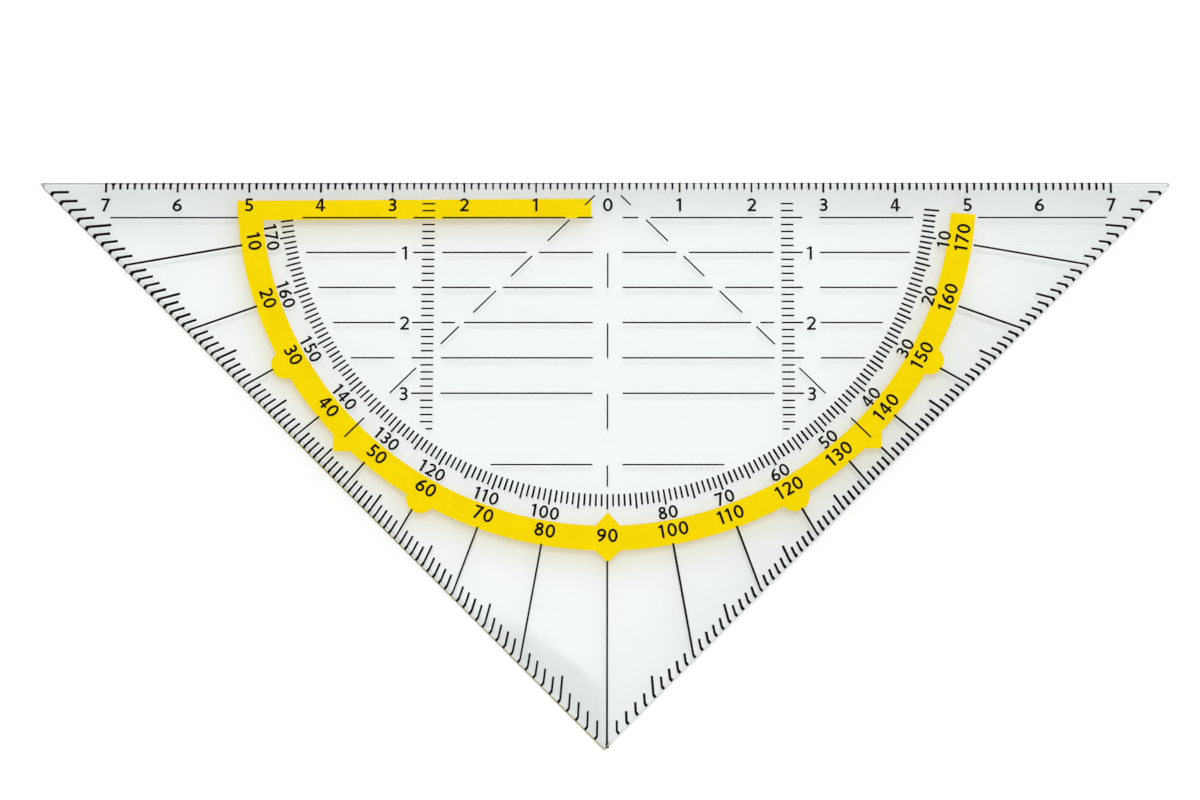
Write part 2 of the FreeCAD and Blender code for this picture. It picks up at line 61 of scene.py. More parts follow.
# The print, in millimetres from the zero mark.  Angles run from the left end of the
# ruling edge (0) through the right-angled corner (90) to the right end (180).
MM_TICK, CM_TICK = 0.95, 1.38
SWELL = (1.12, 1.45)              # range of the ruler ticks' swelling at the edge
SWELL_FADES = (-0.10, -0.28, -0.45, -0.62)
LEAN, LEAN_FROM = 0.03, -0.5      # how far, and from where up, they lean at most
BLOTS, BLOT_SWELL = (-69, -36, -31), 2.4    # ticks whose ink ran at the edge
RING_RADIUS = 44.12               # inner ends of the degree ticks
RING_TICK, LONG_RING_TICK = 1.70, 2.15
FIRST_DEGREE, LAST_DEGREE = 7, 175
LEG_TICK, LONG_LEG_TICK = 1.85, 2.80    # depth square to the leg
# Range of the widths of strokes, on the legs and elsewhere, and where they get bolder
# or finer along a scale: (share, start, end).
LEG_WIDTHS, WIDTHS = (0.93, 1.07), (0.94, 1.06)
RULER_BOLD = ((0.20, -25, -40), (0.25, 20, 40))
RING_BOLD = ((0.12, 30, 50), (0.10, 100, 125), (-0.10, 145, 160))
LEG_BOLD = ((0.20, 32, 16), (0.20, 88, 94), (-0.15, 155, 165))
HOOK_DEPTH = 0.62                 # from where the leg's strokes bend to its outline
HOOK_STEPS, HOOK_TURN = 6, 0.95
RIGHT_LEG_MARGIN = 0.10           # bare strip between them and the right outline
BAND_RADIUS = 51.47               # outer rim of the yellow band
YELLOW_SHIFT = (-0.23, -0.47)     # register of the yellow pass to the black one
RAY_OVERLAP = 0.20                # the rays start this far inside the band
LATE_RAYS, LATE_START = (160, 170), 0.40    # but these this much further out
POINT_ANGLES, POINT_REACH = (45, 135), 1.65    # what stands out of the band's rim
LOBE_ANGLES, LOBE_REACH = (30, 60, 120, 150), 1.56
DIAMOND_REACH = 1.63
APEX_MARGIN = 0.12                # the 90 degree ray stops this far from the corner
POOL_LENGTH = 1.2                 # and is wider over this length
INK_SEAT = 0.01                   # depth of the black ink's underside in the plate
NUMBERED = range(10, 171, 10)     # degrees that have a number and a ray
RULER_NUMBERS_TOP = -2.23
INNER_NUMBERS, OUTER_NUMBERS = 47.36, 49.84    # radii of the numbers' middles
DEPTH_NUMBERS, DEPTH_NUMBERS_DROP = 28.1, 0.08    # off the middle, below the tick
# Where each number of the protractor sits along its arc, from 10 to 170.
DEGREE_NUMBER_SHIFT = (-0.40, -0.17, 0.12, 0.15, 0.23, -0.38, -0.38, -0.28, 0.00,
                       0.07, -0.15, -0.10, -0.23, -0.10, 0.07, 0.02, 0.12)
BAND_NUMBER_SHIFT = (-0.25, -0.55, -0.37, -0.20, 0.58, 0.13, 0.13, 0.15, 0.02,
                     0.40, -0.22, -0.05, -0.38, 0.15, 0.35, 0.68, 0.80)
# Left and right limits of each digit, as shares of its height.
DIGIT_SPAN = {"0": (0.00, 0.64), "1": (0.12, 0.56), "2": (0.03, 0.61),
              "3": (0.04, 0.58), "4": (0.02, 0.64), "5": (0.04, 0.60),
              "6": (0.02, 0.62), "7": (0.03, 0.60), "8": (0.02, 0.62),
              "9": (0.02, 0.62)}
DIGIT_GAP = 0.12

CAMERA_PLACE = Vector((3.166, -133.503, 479.921))
CAMERA_TURN = Euler((0.211312, 0.008348, 0.002031), "XYZ")


def linear(hex_colour):
    """Linear RGBA of an sRGB hex colour."""
    values = [int(hex_colour[i:i + 2], 16) / 255 for i in (1, 3, 5)]
    return tuple(v / 12.92 if v <= 0.04045 else ((v + 0.055) / 1.055) ** 2.4
                 for v in values) + (1.0,)


def length(name, description, default):
    """Property of a length that is given in millimetres."""
    return FloatProperty(name=name, description=description, default=default * MM,
                         min=0.0, unit="LENGTH", precision=5)


def colour(name, description, default):
    """Property of a colour whose default is an sRGB hex colour."""
    return FloatVectorProperty(name=name, description=description, size=4,
                               subtype="COLOR", min=0.0, max=1.0,
                               default=linear(default))


def number(name, description, default, low=0.0, unit="NONE"):
    """Property of a plain number, or of an angle with the unit ROTATION."""
    return FloatProperty(name=name, description=description, default=default, min=low,
                         unit=unit)


# ---- settings ----
class PlateSettings(bpy.types.PropertyGroup):
    """Sizes and tint of the moulded plate."""
    thickness: length("Thickness", "Height of the plate", PLATE_HIGH[2] / MM)
    ruling_edge: length("Ruling edge", "Long edge between its sharp corners", 158.5)
    edge_round: length("Edge rounding", "Radius of the three upper edges", 0.7)
    tip_radius: length("Tip radius", "Plan radius of the left 45 degree corner", 0.35)
    apex_radius: length("Apex radius", "Plan radius of the 90 degree corner", 0.3)
    round_steps: IntProperty(name="Rounding steps", default=8, min=2, max=24,
                             description="Flats that make up one rounded edge")
    tint: colour("Tint", "Colour of white seen through the plate", "#E6E9E9")
    roughness: number("Roughness", "Roughness of the polished faces", 0.02)
    worn_radius: length("Worn tip radius", "Plan radius of the right, blunter tip", 0.6)
    # The four face colours here are painted shade: grey lines where the clear edges
    # turn, darker on the left, paler on the right, which faces the light.
    left_leg: colour("Left leg's face", "Colour of the face by the left tip", "#D0D0CB")
    right_leg: colour("Right leg's face", "Colour of the right leg's face", "#D8DCDA")
    # Painted glow: the band's yellow light inside the plate, painted into the left
    # leg's faces.
    leg_glow: colour("Edge glow", "Colour that the band sends into the left leg",
                     "#BFB44E")
    ruling_left: colour("Ruling face, left", "Colour of the ruling edge's left half",
                        "#6E6E6C")
    ruling_right: colour("Ruling face, right", "Colour of its right half", "#9EA09F")


class InkSettings(bpy.types.PropertyGroup):
    """Sizes and colours of the two print passes."""
    film: length("Black film", "Height of the black ink over the plate", 0.05)
    black: colour("Black", "Black screen ink", "#0F0C0D")
    past_lines: colour("Light past lines", "Light that gets round long strokes",
                       "#9C9C9C")
    past_ticks: colour("Light past ticks", "Light that gets round ticks and digits",
                       "#DCDCDC")
    yellow: colour("Yellow", "Yellow screen ink", "#F1D300")
    yellow_light: colour("Light through yellow", "Colour of light behind the ink",
                         "#E0CB20")
    edge_margin: length("Bare strip", "From the print to the plate's outline", 0.02)
    tick_width: length("Tick width", "Stroke of the ruler's ticks", 0.25)
    leg_tick_width: length("Leg tick width", "Stroke of the leg ticks", 0.29)
    ring_tick_width: length("Ring tick width", "Stroke of the degree ring", 0.24)
    ray_width: length("Ray width", "Stroke of the angle rays", 0.25)


class NumeralSettings(bpy.types.PropertyGroup):
    """Sizes of the four rows of numbers."""
    ruler_height: length("Ruler height", "Height of the ruler's digits", 1.87)
    ruler_stroke: length("Ruler stroke", "Stroke of the ruler's digits", 0.29)
    single_wide: number("Single width", "Stretch of single digits across", 1.15, 0.1)
    degree_wide: number("Degree width", "Stretch of degree numbers across", 1.10, 0.1)
    degree_height: length("Inner height", "Height of the inner row", 1.78)
    degree_stroke: length("Inner stroke", "Stroke of the inner row", 0.29)
    band_height: length("Outer height", "Height of the row on the band", 1.88)
    band_stroke: length("Outer stroke", "Stroke of the row on the band", 0.31)
    depth_height: length("Depth height", "Height of the depth scales' digits", 1.90)
    depth_stroke: length("Depth stroke", "Stroke of the depth scales' digits", 0.27)


class StageSettings(bpy.types.PropertyGroup):
    """Floor, light and camera."""
    floor: colour("Floor", "White card that the set square lies on", "#FFFFFF")
    floor_gap: length("Floor gap", "From the plate down to the card", 0.04)
    key_strength: number("Key light", "Irradiance of the key light, W/m2", 0.52)
    key_softness: number("Key softness", "Angle that the key light spans",
                         math.radians(5), unit="ROTATION")
    key_tilt: number("Key tilt", "Key light off the vertical", math.radians(17.6),
                     unit="ROTATION")
    key_lean: number("Key lean", "Key light off to one side", math.radians(2.0),
                     low=-math.pi, unit="ROTATION")
    left_wall: number("Left wall", "Brightness of the studio's left side", 0.62)
    right_wall: number("Right wall", "Brightness of the studio's right side", 1.05)
    front_wall: number("Front wall", "Brightness behind the camera", 0.35)
    back_wall: number("Back wall", "Brightness beyond the ruling edge", 2.40)
    ceiling: number("Ceiling", "Brightness of the ceiling by the camera", 0.235)
    panel: number("Panel", "Brightness of the soft panel overhead", 2.05)
    panel_side: number("Panel's side", "Brightness of the panel's right side", 1.38)
    lens: number("Focal length", "Focal length on a 36 mm wide sensor, mm", 106.65,
                 low=1.0)


class SetSquareSettings(bpy.types.PropertyGroup):
    """All settings of the set square."""
    plate: PointerProperty(type=PlateSettings)
    ink: PointerProperty(type=InkSettings)
    numerals: PointerProperty(type=NumeralSettings)
    stage: PointerProperty(type=StageSettings)


def settings():
    return bpy.context.scene.set_square


# ---- nodes and materials ----
def add_node(tree, kind, inputs=None, **values):
    """One node with its settings; an input takes a value or another node's output."""
    node = tree.nodes.new(kind)
    for name, value in values.items():
        setattr(node, name, value)
    for key, value in (inputs or {}).items():
        if isinstance(value, bpy.types.NodeSocket):
            tree.links.new(value, node.inputs[key])
        else:
            node.inputs[key].default_value = value
    return node


def new_material(name):
    """(material, its node tree, its output node), with nothing else in it."""
    material = bpy.data.materials.get(name) or bpy.data.materials.new(name)
    material.use_nodes = True
    tree = material.node_tree
    tree.nodes.clear()
    return material, tree, add_node(tree, "ShaderNodeOutputMaterial")


def finish_material(tree, output, surface, light_through):
    """Links the surface, and lets the light that falls on things behind it pass.

    Shadow and diffuse rays stand for that light: they go straight on, tinted.
    """
    path = add_node(tree, "ShaderNodeLightPath")
    clear = add_node(tree, "ShaderNodeBsdfTransparent", {"Color": light_through})
    for kind_of_ray in ("Is Shadow Ray", "Is Diffuse Ray"):
        surface = add_node(tree, "ShaderNodeMixShader",
                           {0: path.outputs[kind_of_ray], 1: surface.outputs[0],
                            2: clear.outputs[0]})
    tree.links.new(surface.outputs[0], output.inputs["Surface"])


def clear_polystyrene(tint, roughness):
    """Clear polystyrene, injection moulded against polished steel.

    The eye gets a water-clear sheet with a cool grey tint, a soft gloss, the long
    faint waves of the melt flow and a few hairline scratches from use.
    """
    material, tree, output = new_material("clear_polystyrene_moulded")
    place = add_node(tree, "ShaderNodeTexCoord").outputs["Object"]
    # Flow waves about 12 mm long, and scratches about 0.1 mm wide, drawn wider than
    # real ones so that they show.
    waves = add_node(tree, "ShaderNodeTexNoise",
                     {"Vector": place, "Scale": 80.0, "Detail": 1.0})
    stretched = add_node(tree, "ShaderNodeMapping",
                         {"Vector": place, "Rotation": (0.0, 0.0, 0.6),
                          "Scale": (60.0, 4500.0, 60.0)})
    scratches = add_node(tree, "ShaderNodeTexNoise",
                         {"Vector": stretched.outputs[0], "Scale": 1.0, "Detail": 1.0})
    fine = add_node(tree, "ShaderNodeMapRange",
                    {"Value": scratches.outputs[0], "From Min": 0.66, "From Max": 0.78,
                     "To Min": 0.0, "To Max": 0.12})
    gloss = add_node(tree, "ShaderNodeMath",
                     {0: fine.outputs[0], 1: roughness}, operation="ADD")
    bump = add_node(tree, "ShaderNodeBump",
                    {"Strength": 0.02, "Distance": 0.0006, "Height": waves.outputs[0]})
    plastic = add_node(tree, "ShaderNodeBsdfPrincipled",
                       {"Base Color": tint, "Roughness": gloss.outputs[0], "IOR": 1.59,
                        "Transmission Weight": 1.0, "Normal": bump.outputs[0]})
    finish_material(tree, output, plastic, linear("#FEFFFF"))
    return material


def moulded_edge(name, left_painted_shade, right_painted_shade, glow):
    """Side faces of clear polystyrene, left matt by the mould's wall, fine grained.

    The eye gets a thin line of even tone round the clear sheet, in painted shade that
    stands for light from inside leaving these faces at a steep angle: darker on the
    left, pale on the right, which faces the light, and a painted olive glow down the
    left leg, where the yellow print shines in.
    """
    material, tree, output = new_material(name)
    place = add_node(tree, "ShaderNodeTexCoord").outputs["Object"]
    # Grain about 0.4 mm long, and stretches of more and less painted glow about 15 mm
    # long.
    grain = add_node(tree, "ShaderNodeTexNoise", {"Vector": place, "Scale": 2500.0})
    stretches = add_node(tree, "ShaderNodeTexNoise",
                         {"Vector": place, "Scale": 65.0, "Detail": 1.0})
    axes = add_node(tree, "ShaderNodeSeparateXYZ", {0: place})
    # Painted shade: below zero in x the faces take the darker left tone, above it the
    # paler right one.
    left = add_node(tree, "ShaderNodeMapRange",
                    {"Value": axes.outputs[0], "From Min": -0.001, "From Max": 0.001,
                     "To Min": 1.0, "To Max": 0.0})
    grey = add_node(tree, "ShaderNodeMix",
                    {0: left.outputs[0], 6: right_painted_shade, 7: left_painted_shade},
                    data_type="RGBA")
    # The painted glow comes in from 8 to 35 mm below the ruling edge.
    below = add_node(tree, "ShaderNodeMapRange",
                     {"Value": axes.outputs[1], "From Min": -0.035, "From Max": -0.008,
                      "To Min": 1.0, "To Max": 0.0})
    here = add_node(tree, "ShaderNodeMath", {0: below.outputs[0], 1: left.outputs[0]},
                    operation="MULTIPLY")
    uneven = add_node(tree, "ShaderNodeMapRange",
                      {"Value": stretches.outputs[0], "From Min": 0.35,
                       "From Max": 0.65, "To Min": 0.6, "To Max": 1.0})
    amount = add_node(tree, "ShaderNodeMath",
                      {0: here.outputs[0], 1: uneven.outputs[0]}, operation="MULTIPLY")
    # The band's painted glow goes over the painted shade.
    tint = add_node(tree, "ShaderNodeMix",
                    {0: amount.outputs[0], 6: grey.outputs[2], 7: glow},
                    data_type="RGBA")
    bump = add_node(tree, "ShaderNodeBump",
                    {"Strength": 0.2, "Distance": 0.00002, "Height": grain.outputs[0]})
    face = add_node(tree, "ShaderNodeBsdfPrincipled",
                    {"Base Color": tint.outputs[2], "Roughness": 0.5, "IOR": 1.59,
                     "Specular IOR Level": 0.1, "Normal": bump.outputs[0]})
    finish_material(tree, output, face, linear("#FEFEFE"))
    return material


def screen_ink(name, base, behind, scales, noises, tones, relief, shine):
    """Ink whose tone varies with a mottle, under a fine grain.

    scales: noise scales of mottle and grain; noises, tones: the mottle's range of
    noise and the tones it makes; relief: of the grain; shine: specular level.
    """
    material, tree, output = new_material(name)
    place = add_node(tree, "ShaderNodeTexCoord").outputs["Object"]
    mottle = add_node(tree, "ShaderNodeTexNoise",
                      {"Vector": place, "Scale": scales[0], "Detail": 3.0,
                       "Roughness": 0.6})
    grain = add_node(tree, "ShaderNodeTexNoise", {"Vector": place, "Scale": scales[1]})
    tone = add_node(tree, "ShaderNodeMapRange",
                    {"Value": mottle.outputs[0], "From Min": noises[0],
                     "From Max": noises[1], "To Min": tones[0], "To Max": tones[1]})
    shade = add_node(tree, "ShaderNodeVectorMath",
                     {0: base[:3], "Scale": tone.outputs[0]}, operation="SCALE")
    bump = add_node(tree, "ShaderNodeBump",
                    {"Strength": relief, "Distance": 0.00001,
                     "Height": grain.outputs[0]})
    ink = add_node(tree, "ShaderNodeBsdfPrincipled",
                   {"Base Color": shade.outputs[0], "Roughness": 0.6, "IOR": 1.5,
                    "Specular IOR Level": shine, "Normal": bump.outputs[0]})
    finish_material(tree, output, ink, behind)
    return material


def yellow_ink(base, behind):
    """Opaque yellow screen ink, printed and oven dried on the plastic.

    The eye gets an even, dense, slightly satin yellow with the faint mottle of the
    mesh; a little warm light comes through it onto what lies below.
    """
    # Mottle about 3 mm wide and mesh grain about 0.15 mm.
    return screen_ink("yellow_screen_ink_printed", base, behind,
                      scales=(330.0, 6500.0), noises=(0.3, 0.7), tones=(0.97, 1.03),
                      relief=0.15, shine=0.03)


def black_ink(strokes):
    """Opaque black screen ink, printed and oven dried on the plastic.

    The eye gets a dense neutral black with hardly any gloss and a fine grain.  The
    strokes are so thin that part of the light gets round them inside the plate: some
    round the long lines, which keep a faint shadow, and most round short ticks.
    """
    ink = settings().ink
    # Density changes over about 1 mm, grain about 0.12 mm.
    return screen_ink("black_screen_ink_printed_" + strokes, ink.black,
                      getattr(ink, "past_" + strokes), scales=(1000.0, 8000.0),
                      noises=(0.3, 0.75), tones=(0.75, 1.7), relief=0.2, shine=0.05)


def white_card(base):
    """Smooth white card: an even matt white with a grain too fine to read."""
    material, tree, output = new_material("white_card_smooth")
    place = add_node(tree, "ShaderNodeTexCoord").outputs["Object"]
    grain = add_node(tree, "ShaderNodeTexNoise", {"Vector": place, "Scale": 2500.0})
    bump = add_node(tree, "ShaderNodeBump",
                    {"Strength": 0.03, "Distance": 0.00002, "Height": grain.outputs[0]})
    card = add_node(tree, "ShaderNodeBsdfPrincipled",
                    {"Base Color": base, "Roughness": 0.9, "Specular IOR Level": 0.1,
                     "Normal": bump.outputs[0]})
    tree.links.new(card.outputs[0], output.inputs["Surface"])
    return material


# ---- shape helpers, in millimetres ----
def polar(angle, radius):
    """Plan point at a protractor angle and a distance from the zero mark."""
    t = math.radians(angle)
    return Vector((-radius * math.cos(t), -radius * math.sin(t), 0.0))


def ramp(value, start, end):
    """0 on one side of start, 1 beyond end, straight in between, either way round."""
    return min(max((value - start) / (end - start), 0.0), 1.0)


def boldness(value, changes):
    """Share of a stroke's usual width at a place on its scale."""
    return 1.0 + sum(share * ramp(value, start, end) for share, start, end in changes)


def plate_triangle():
    """Half of the ruling edge, and the x of its middle and its y."""
    return (settings().plate.ruling_edge / MM / 2,
            (PLATE_LOW[0] + PLATE_HIGH[0]) / 2 / MM, PLATE_HIGH[1] / MM)


def plate_sides():
    """(outward normal, distance from the zero mark) of the plate's three sides."""
    leg, middle, top = plate_triangle()
    half = math.sqrt(0.5)
    return ((Vector((0.0, 1.0, 0.0)), top),
            (Vector((half, -half, 0.0)), (leg + middle - top) * half),
            (Vector((-half, -half, 0.0)), (leg - middle - top) * half))


def skin_height(x, y, lift):
    """Height of the plate's upper skin over a plan point, moved outwards by lift."""
    plate = settings().plate
    radius, top = plate.edge_round / MM, plate.thickness / MM
    inside = min(distance - (normal.x * x + normal.y * y)
                 for normal, distance in plate_sides())
    if inside >= radius:
        return top + lift
    return top - radius + math.sqrt(max((radius + lift) ** 2 - (radius - inside) ** 2,
                                        0.0))


def stroke(bm, path, widths):
    """Flat strip along a plan path; widths holds the stroke at each point."""
    verts = edge = None
    for i, point in enumerate(path):
        before, after = path[max(i - 1, 0)], path[min(i + 1, len(path) - 1)]
        along = (after - before).normalized()
        side = Vector((-along.y, along.x, 0.0)) * widths[i] / 2
        if edge is None:
            verts = [bm.verts.new(point + side), bm.verts.new(point - side)]
            edge = bm.edges.new(verts)
            continue
        made = bmesh.ops.extrude_edge_only(bm, edges=[edge])["geom"]
        fresh = [item for item in made if isinstance(item, bmesh.types.BMVert)]
        edge = next(item for item in made if isinstance(item, bmesh.types.BMEdge)
                    and all(vert in fresh for vert in item.verts))
        left = min(fresh, key=lambda vert: (vert.co - verts[0].co).length)
        right = fresh[1] if left is fresh[0] else fresh[0]
        left.co, right.co = point + side, point - side
        verts = [left, right]


def extrude_up(bm, height):
    """Extrudes flat faces straight up and returns the raised vertices."""
    made = bmesh.ops.extrude_face_region(bm, geom=bm.faces[:])["geom"]
    raised = [item for item in made if isinstance(item, bmesh.types.BMVert)]
    bmesh.ops.translate(bm, vec=(0.0, 0.0, height), verts=raised)
    return raised


def drape(bm, low, high):
    """Flat strips become closed films that lie on the plate's upper skin."""
    lifted = set(extrude_up(bm, high - low))
    for vert in bm.verts:
        vert.co.z = skin_height(vert.co.x, vert.co.y, high if vert in lifted else low)
    bmesh.ops.recalc_face_normals(bm, faces=bm.faces[:])


def finish_piece(name, bm, material, slot, *nodes):
    """Object of a bmesh in millimetres, which stands for these nodes."""
    bmesh.ops.scale(bm, vec=(MM, MM, MM), verts=bm.verts[:])
    mesh = bpy.data.meshes.new(name)
    bm.to_mesh(mesh)
    bm.free()
    piece = bpy.data.objects.new(name, mesh)
    bpy.context.collection.objects.link(piece)
    mesh.materials.append(material)
    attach(piece, BODY)
    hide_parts(*nodes)
    return piece


def ink_piece(name, bm, strokes, node):
    """Drapes flat strips of black ink over the plate, as the piece for one node."""
    drape(bm, -INK_SEAT, settings().ink.film / MM)
    finish_piece(name, bm, black_ink(strokes), "black_ink", node)


def dress_node(name, material):
    """Gives a CAD node its material."""
    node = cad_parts[name]
    for slot in node.material_slots:
        slot.material = material
    if not node.material_slots:
        node.data.materials.append(material)


# ---- digits, one unit high ----
def ring_strip(bm, x, y, radius, start, end, width):
    """Arc-shaped strip, anticlockwise from start to end in degrees."""
    t = math.radians(start)
    ray = Vector((math.cos(t), math.sin(t), 0.0))
    centre = Vector((x, y, 0.0))
    verts = [bm.verts.new(centre + ray * (radius - width / 2)),
             bm.verts.new(centre + ray * (radius + width / 2))]
    edge = bm.edges.new(verts)
    full = end - start >= 360
    bmesh.ops.spin(bm, geom=verts + [edge], cent=centre, axis=(0.0, 0.0, 1.0),
                   angle=math.radians(end - start), use_merge=full,
                   steps=max(6, round((end - start) / 12)))


def six_strips(s):
    """Bowl and tail of a six with stroke s, each in a bmesh of its own."""
    radius = 0.305 - s / 2
    left, bowl_y = 0.32 - radius, 0.305
    dx, dy = 0.53 - left, 0.995 - s / 2 - bowl_y
    tail = (dx * dx + dy * dy) / (2 * dx)
    end = math.degrees(math.atan2(dy, dx - tail))
    return [("ring", 0.32, bowl_y, radius, 0, 360, s),
            ("ring", left + tail, bowl_y, tail, end, 180, s)]


def digit_parts(digit, s):
    """Strips whose union is one digit, one unit high with stroke s."""
    w, e = 0.64, s / 2
    if digit == "0":
        return [("oval", w / 2, 0.5, s)]
    if digit == "1":
        return [("line", (0.44 - e, 0.0), (0.44 - e, 1.0), s),
                ("line", (0.13, 0.81), (0.44 - e, 1.0 - e), 0.9 * s)]
    if digit == "2":
        radius = w / 2 - e - 0.015
        cx, cy = w / 2 - 0.01, 1.0 - e - radius
        t = math.radians(-35)
        x, y = cx + radius * math.cos(t), cy + radius * math.sin(t)
        run = (y - e) / math.cos(t)
        return [("ring", cx, cy, radius, -35, 158, s),
                ("line", (x, y), (x + run * math.sin(t), e), s),
                ("line", (0.05, e), (0.61, e), s)]
    if digit == "3":
        top, bottom = 0.27 - e, 0.30 - e
        return [("ring", 0.29, 1.0 - e - top, top, -90, 148, s),
                ("ring", 0.28, e + bottom, bottom, -145, 90, s),
                ("line", (0.17, 0.53), (0.29, 0.53), s)]
    if digit == "4":
        return [("line", (0.50 - e, 0.0), (0.50 - e, 1.0), s),
                ("line", (0.02, 0.28), (w, 0.28), 0.85 * s),
                ("line", (0.06, 0.28), (0.50 - s, 1.0 - e), 0.75 * s)]
    if digit == "5":
        radius = 0.315 - e
        return [("line", (0.12, 1.0 - e), (0.56, 1.0 - e), s),
                ("line", (0.115 + e, 1.0 - e), (0.095 + e, 0.49), 0.95 * s),
                ("ring", 0.29, e + radius, radius, -142, 128, s)]
    if digit == "7":
        return [("line", (0.03, 1.0 - e), (0.60, 1.0 - e), s),
                ("line", (0.60 - 0.6 * s, 1.0 - e), (0.27 - 0.54 * s, 0.0), s)]
    if digit == "8":
        top, bottom = 0.255 - e, 0.30 - e
        return [("ring", w / 2, 1.0 - e - top, top, 0, 360, s),
                ("ring", w / 2, e + bottom, bottom, 0, 360, s)]
    return six_strips(s)


def part_mesh(part, upside_down):
    """Closed unit-high prism of one strip of a digit, as a mesh."""
    bm = bmesh.new()
    kind, *values = part
    if kind == "line":
        start, end, width = values
        stroke(bm, [Vector((*start, 0.0)), Vector((*end, 0.0))], [width, width])
    elif kind == "ring":
        ring_strip(bm, *values)
    else:
        half_width, half_height, s = values
        ring_strip(bm, 0.0, 0.0, 1.0, 0, 360, 0.5)
        outer = [vert for vert in bm.verts if vert.co.length > 1.0]
        inner = [vert for vert in bm.verts if vert.co.length < 1.0]
        bmesh.ops.scale(bm, verts=outer,
                        vec=(half_width / 1.25, half_height / 1.25, 1.0))
        bmesh.ops.scale(bm, verts=inner,
                        vec=((half_width - s) / 0.75, (half_height - s) / 0.75, 1.0))
        bmesh.ops.translate(bm, verts=bm.verts[:], vec=(half_width, half_height, 0.0))
    if upside_down:
        bmesh.ops.rotate(bm, verts=bm.verts[:], cent=(0.32, 0.5, 0.0),
                         matrix=Matrix.Rotation(math.pi, 3, "Z"))
    extrude_up(bm, 1.0)
    bmesh.ops.recalc_face_normals(bm, faces=bm.faces[:])
    mesh = bpy.data.meshes.new("strip")
    bm.to_mesh(mesh)
    bm.free()
    return mesh


def digit_mesh(digit, share):
    """One digit as a single closed solid, one unit high and one unit deep."""
    meshes = [part_mesh(part, digit == "9") for part in digit_parts(digit, share)]
    objects = [bpy.data.objects.new("strip", mesh) for mesh in meshes]
    for item in objects:
        bpy.context.collection.objects.link(item)
    for other in objects[1:]:
        union = objects[0].modifiers.new("union", "BOOLEAN")
        union.operation, union.solver, union.object = "UNION", "EXACT", other
    whole = objects[0].evaluated_get(bpy.context.evaluated_depsgraph_get())
    result = bpy.data.meshes.new_from_object(whole)
    for item, mesh in zip(objects, meshes):
        bpy.data.objects.remove(item)
        bpy.data.meshes.remove(mesh)
    return result


def set_number(bm, digits, text, height, place, turn, along, wide):
    """Adds a number centred on a plan point, its baseline turned by turn degrees."""
    places, pen = [], 0.0
    for character in text:
        left, right = DIGIT_SPAN[character]
        places.append(pen - left)
        pen += right - left + DIGIT_GAP
    half = (pen - DIGIT_GAP) / 2
    turned = Matrix.Rotation(math.radians(turn), 4, "Z")
    for character, start in zip(text, places):
        known = len(bm.verts)
        bm.from_mesh(digits[character])
        bm.verts.ensure_lookup_table()
        fresh = bm.verts[known:]
        shift = Matrix.Translation(((start - half) * height * wide + along,
                                    -height / 2, 0.0))
        grow = Matrix.Diagonal((height * wide, height, 1.0, 1.0))
        bmesh.ops.transform(bm, verts=fresh,
                            matrix=Matrix.Translation(place) @ turned @ shift @ grow)


def number_row(name, node, row, wide, numbers):
    """One row of numbers, each as (text, place, turn, shift along the baseline)."""
    height, width = (getattr(settings().numerals, row + size) / MM
                     for size in ("_height", "_stroke"))
    digits = {digit: digit_mesh(digit, width / height) for digit in "0123456789"}
    bm = bmesh.new()
    for text, place, turn, along in numbers:
        set_number(bm, digits, text, height, place, turn, along, wide)
    for mesh in digits.values():
        bpy.data.meshes.remove(mesh)
    # The digits' unit-deep prisms become films on the plate.
    top = settings().plate.thickness / MM
    for vert in bm.verts:
        vert.co.z = (top + settings().ink.film / MM if vert.co.z > 0.5
                     else top - INK_SEAT)
    finish_piece(name, bm, black_ink("ticks"), "black_ink", node)


